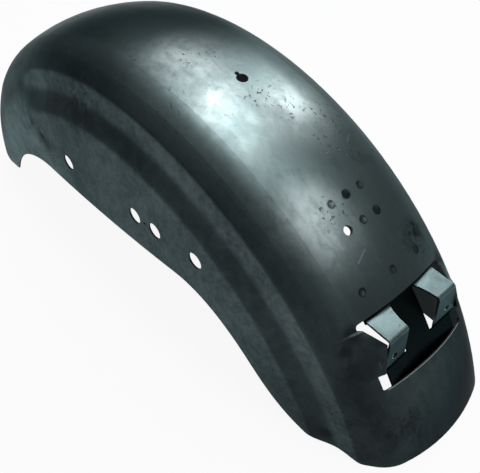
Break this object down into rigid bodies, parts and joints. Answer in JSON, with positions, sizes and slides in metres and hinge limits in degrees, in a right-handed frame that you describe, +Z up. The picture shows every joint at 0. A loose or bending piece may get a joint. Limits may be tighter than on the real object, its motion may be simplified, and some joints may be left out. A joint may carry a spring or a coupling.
{
  "type": "motorcycle rear fender",
  "caption": "Bobbed rear fender: a drawn steel sheet arched over the wheel, with stepped flat skirts, strut holes, and a lamp bracket standing out through its tail window.",
  "frame": {"origin": "on the floor that the fender stands on, below the middle of its overall box", "axes": "+X forward along the motorcycle, +Y to its left, +Z up; the fender mirrors about the XZ plane"},
  "size_m": [0.5934, 0.18, 0.2285],
  "materials": {
    "pressed_steel": "dark oiled raw sheet",
    "bracket_steel": "satin raw sheet",
    "plate_steel": "raw sheet"
  },
  "bodies": {
    "root": {"fender_shell": "pressed_steel", "tail_bracket": "bracket_steel", "backing_plate": "plate_steel"}
  },
  "joints": []
}
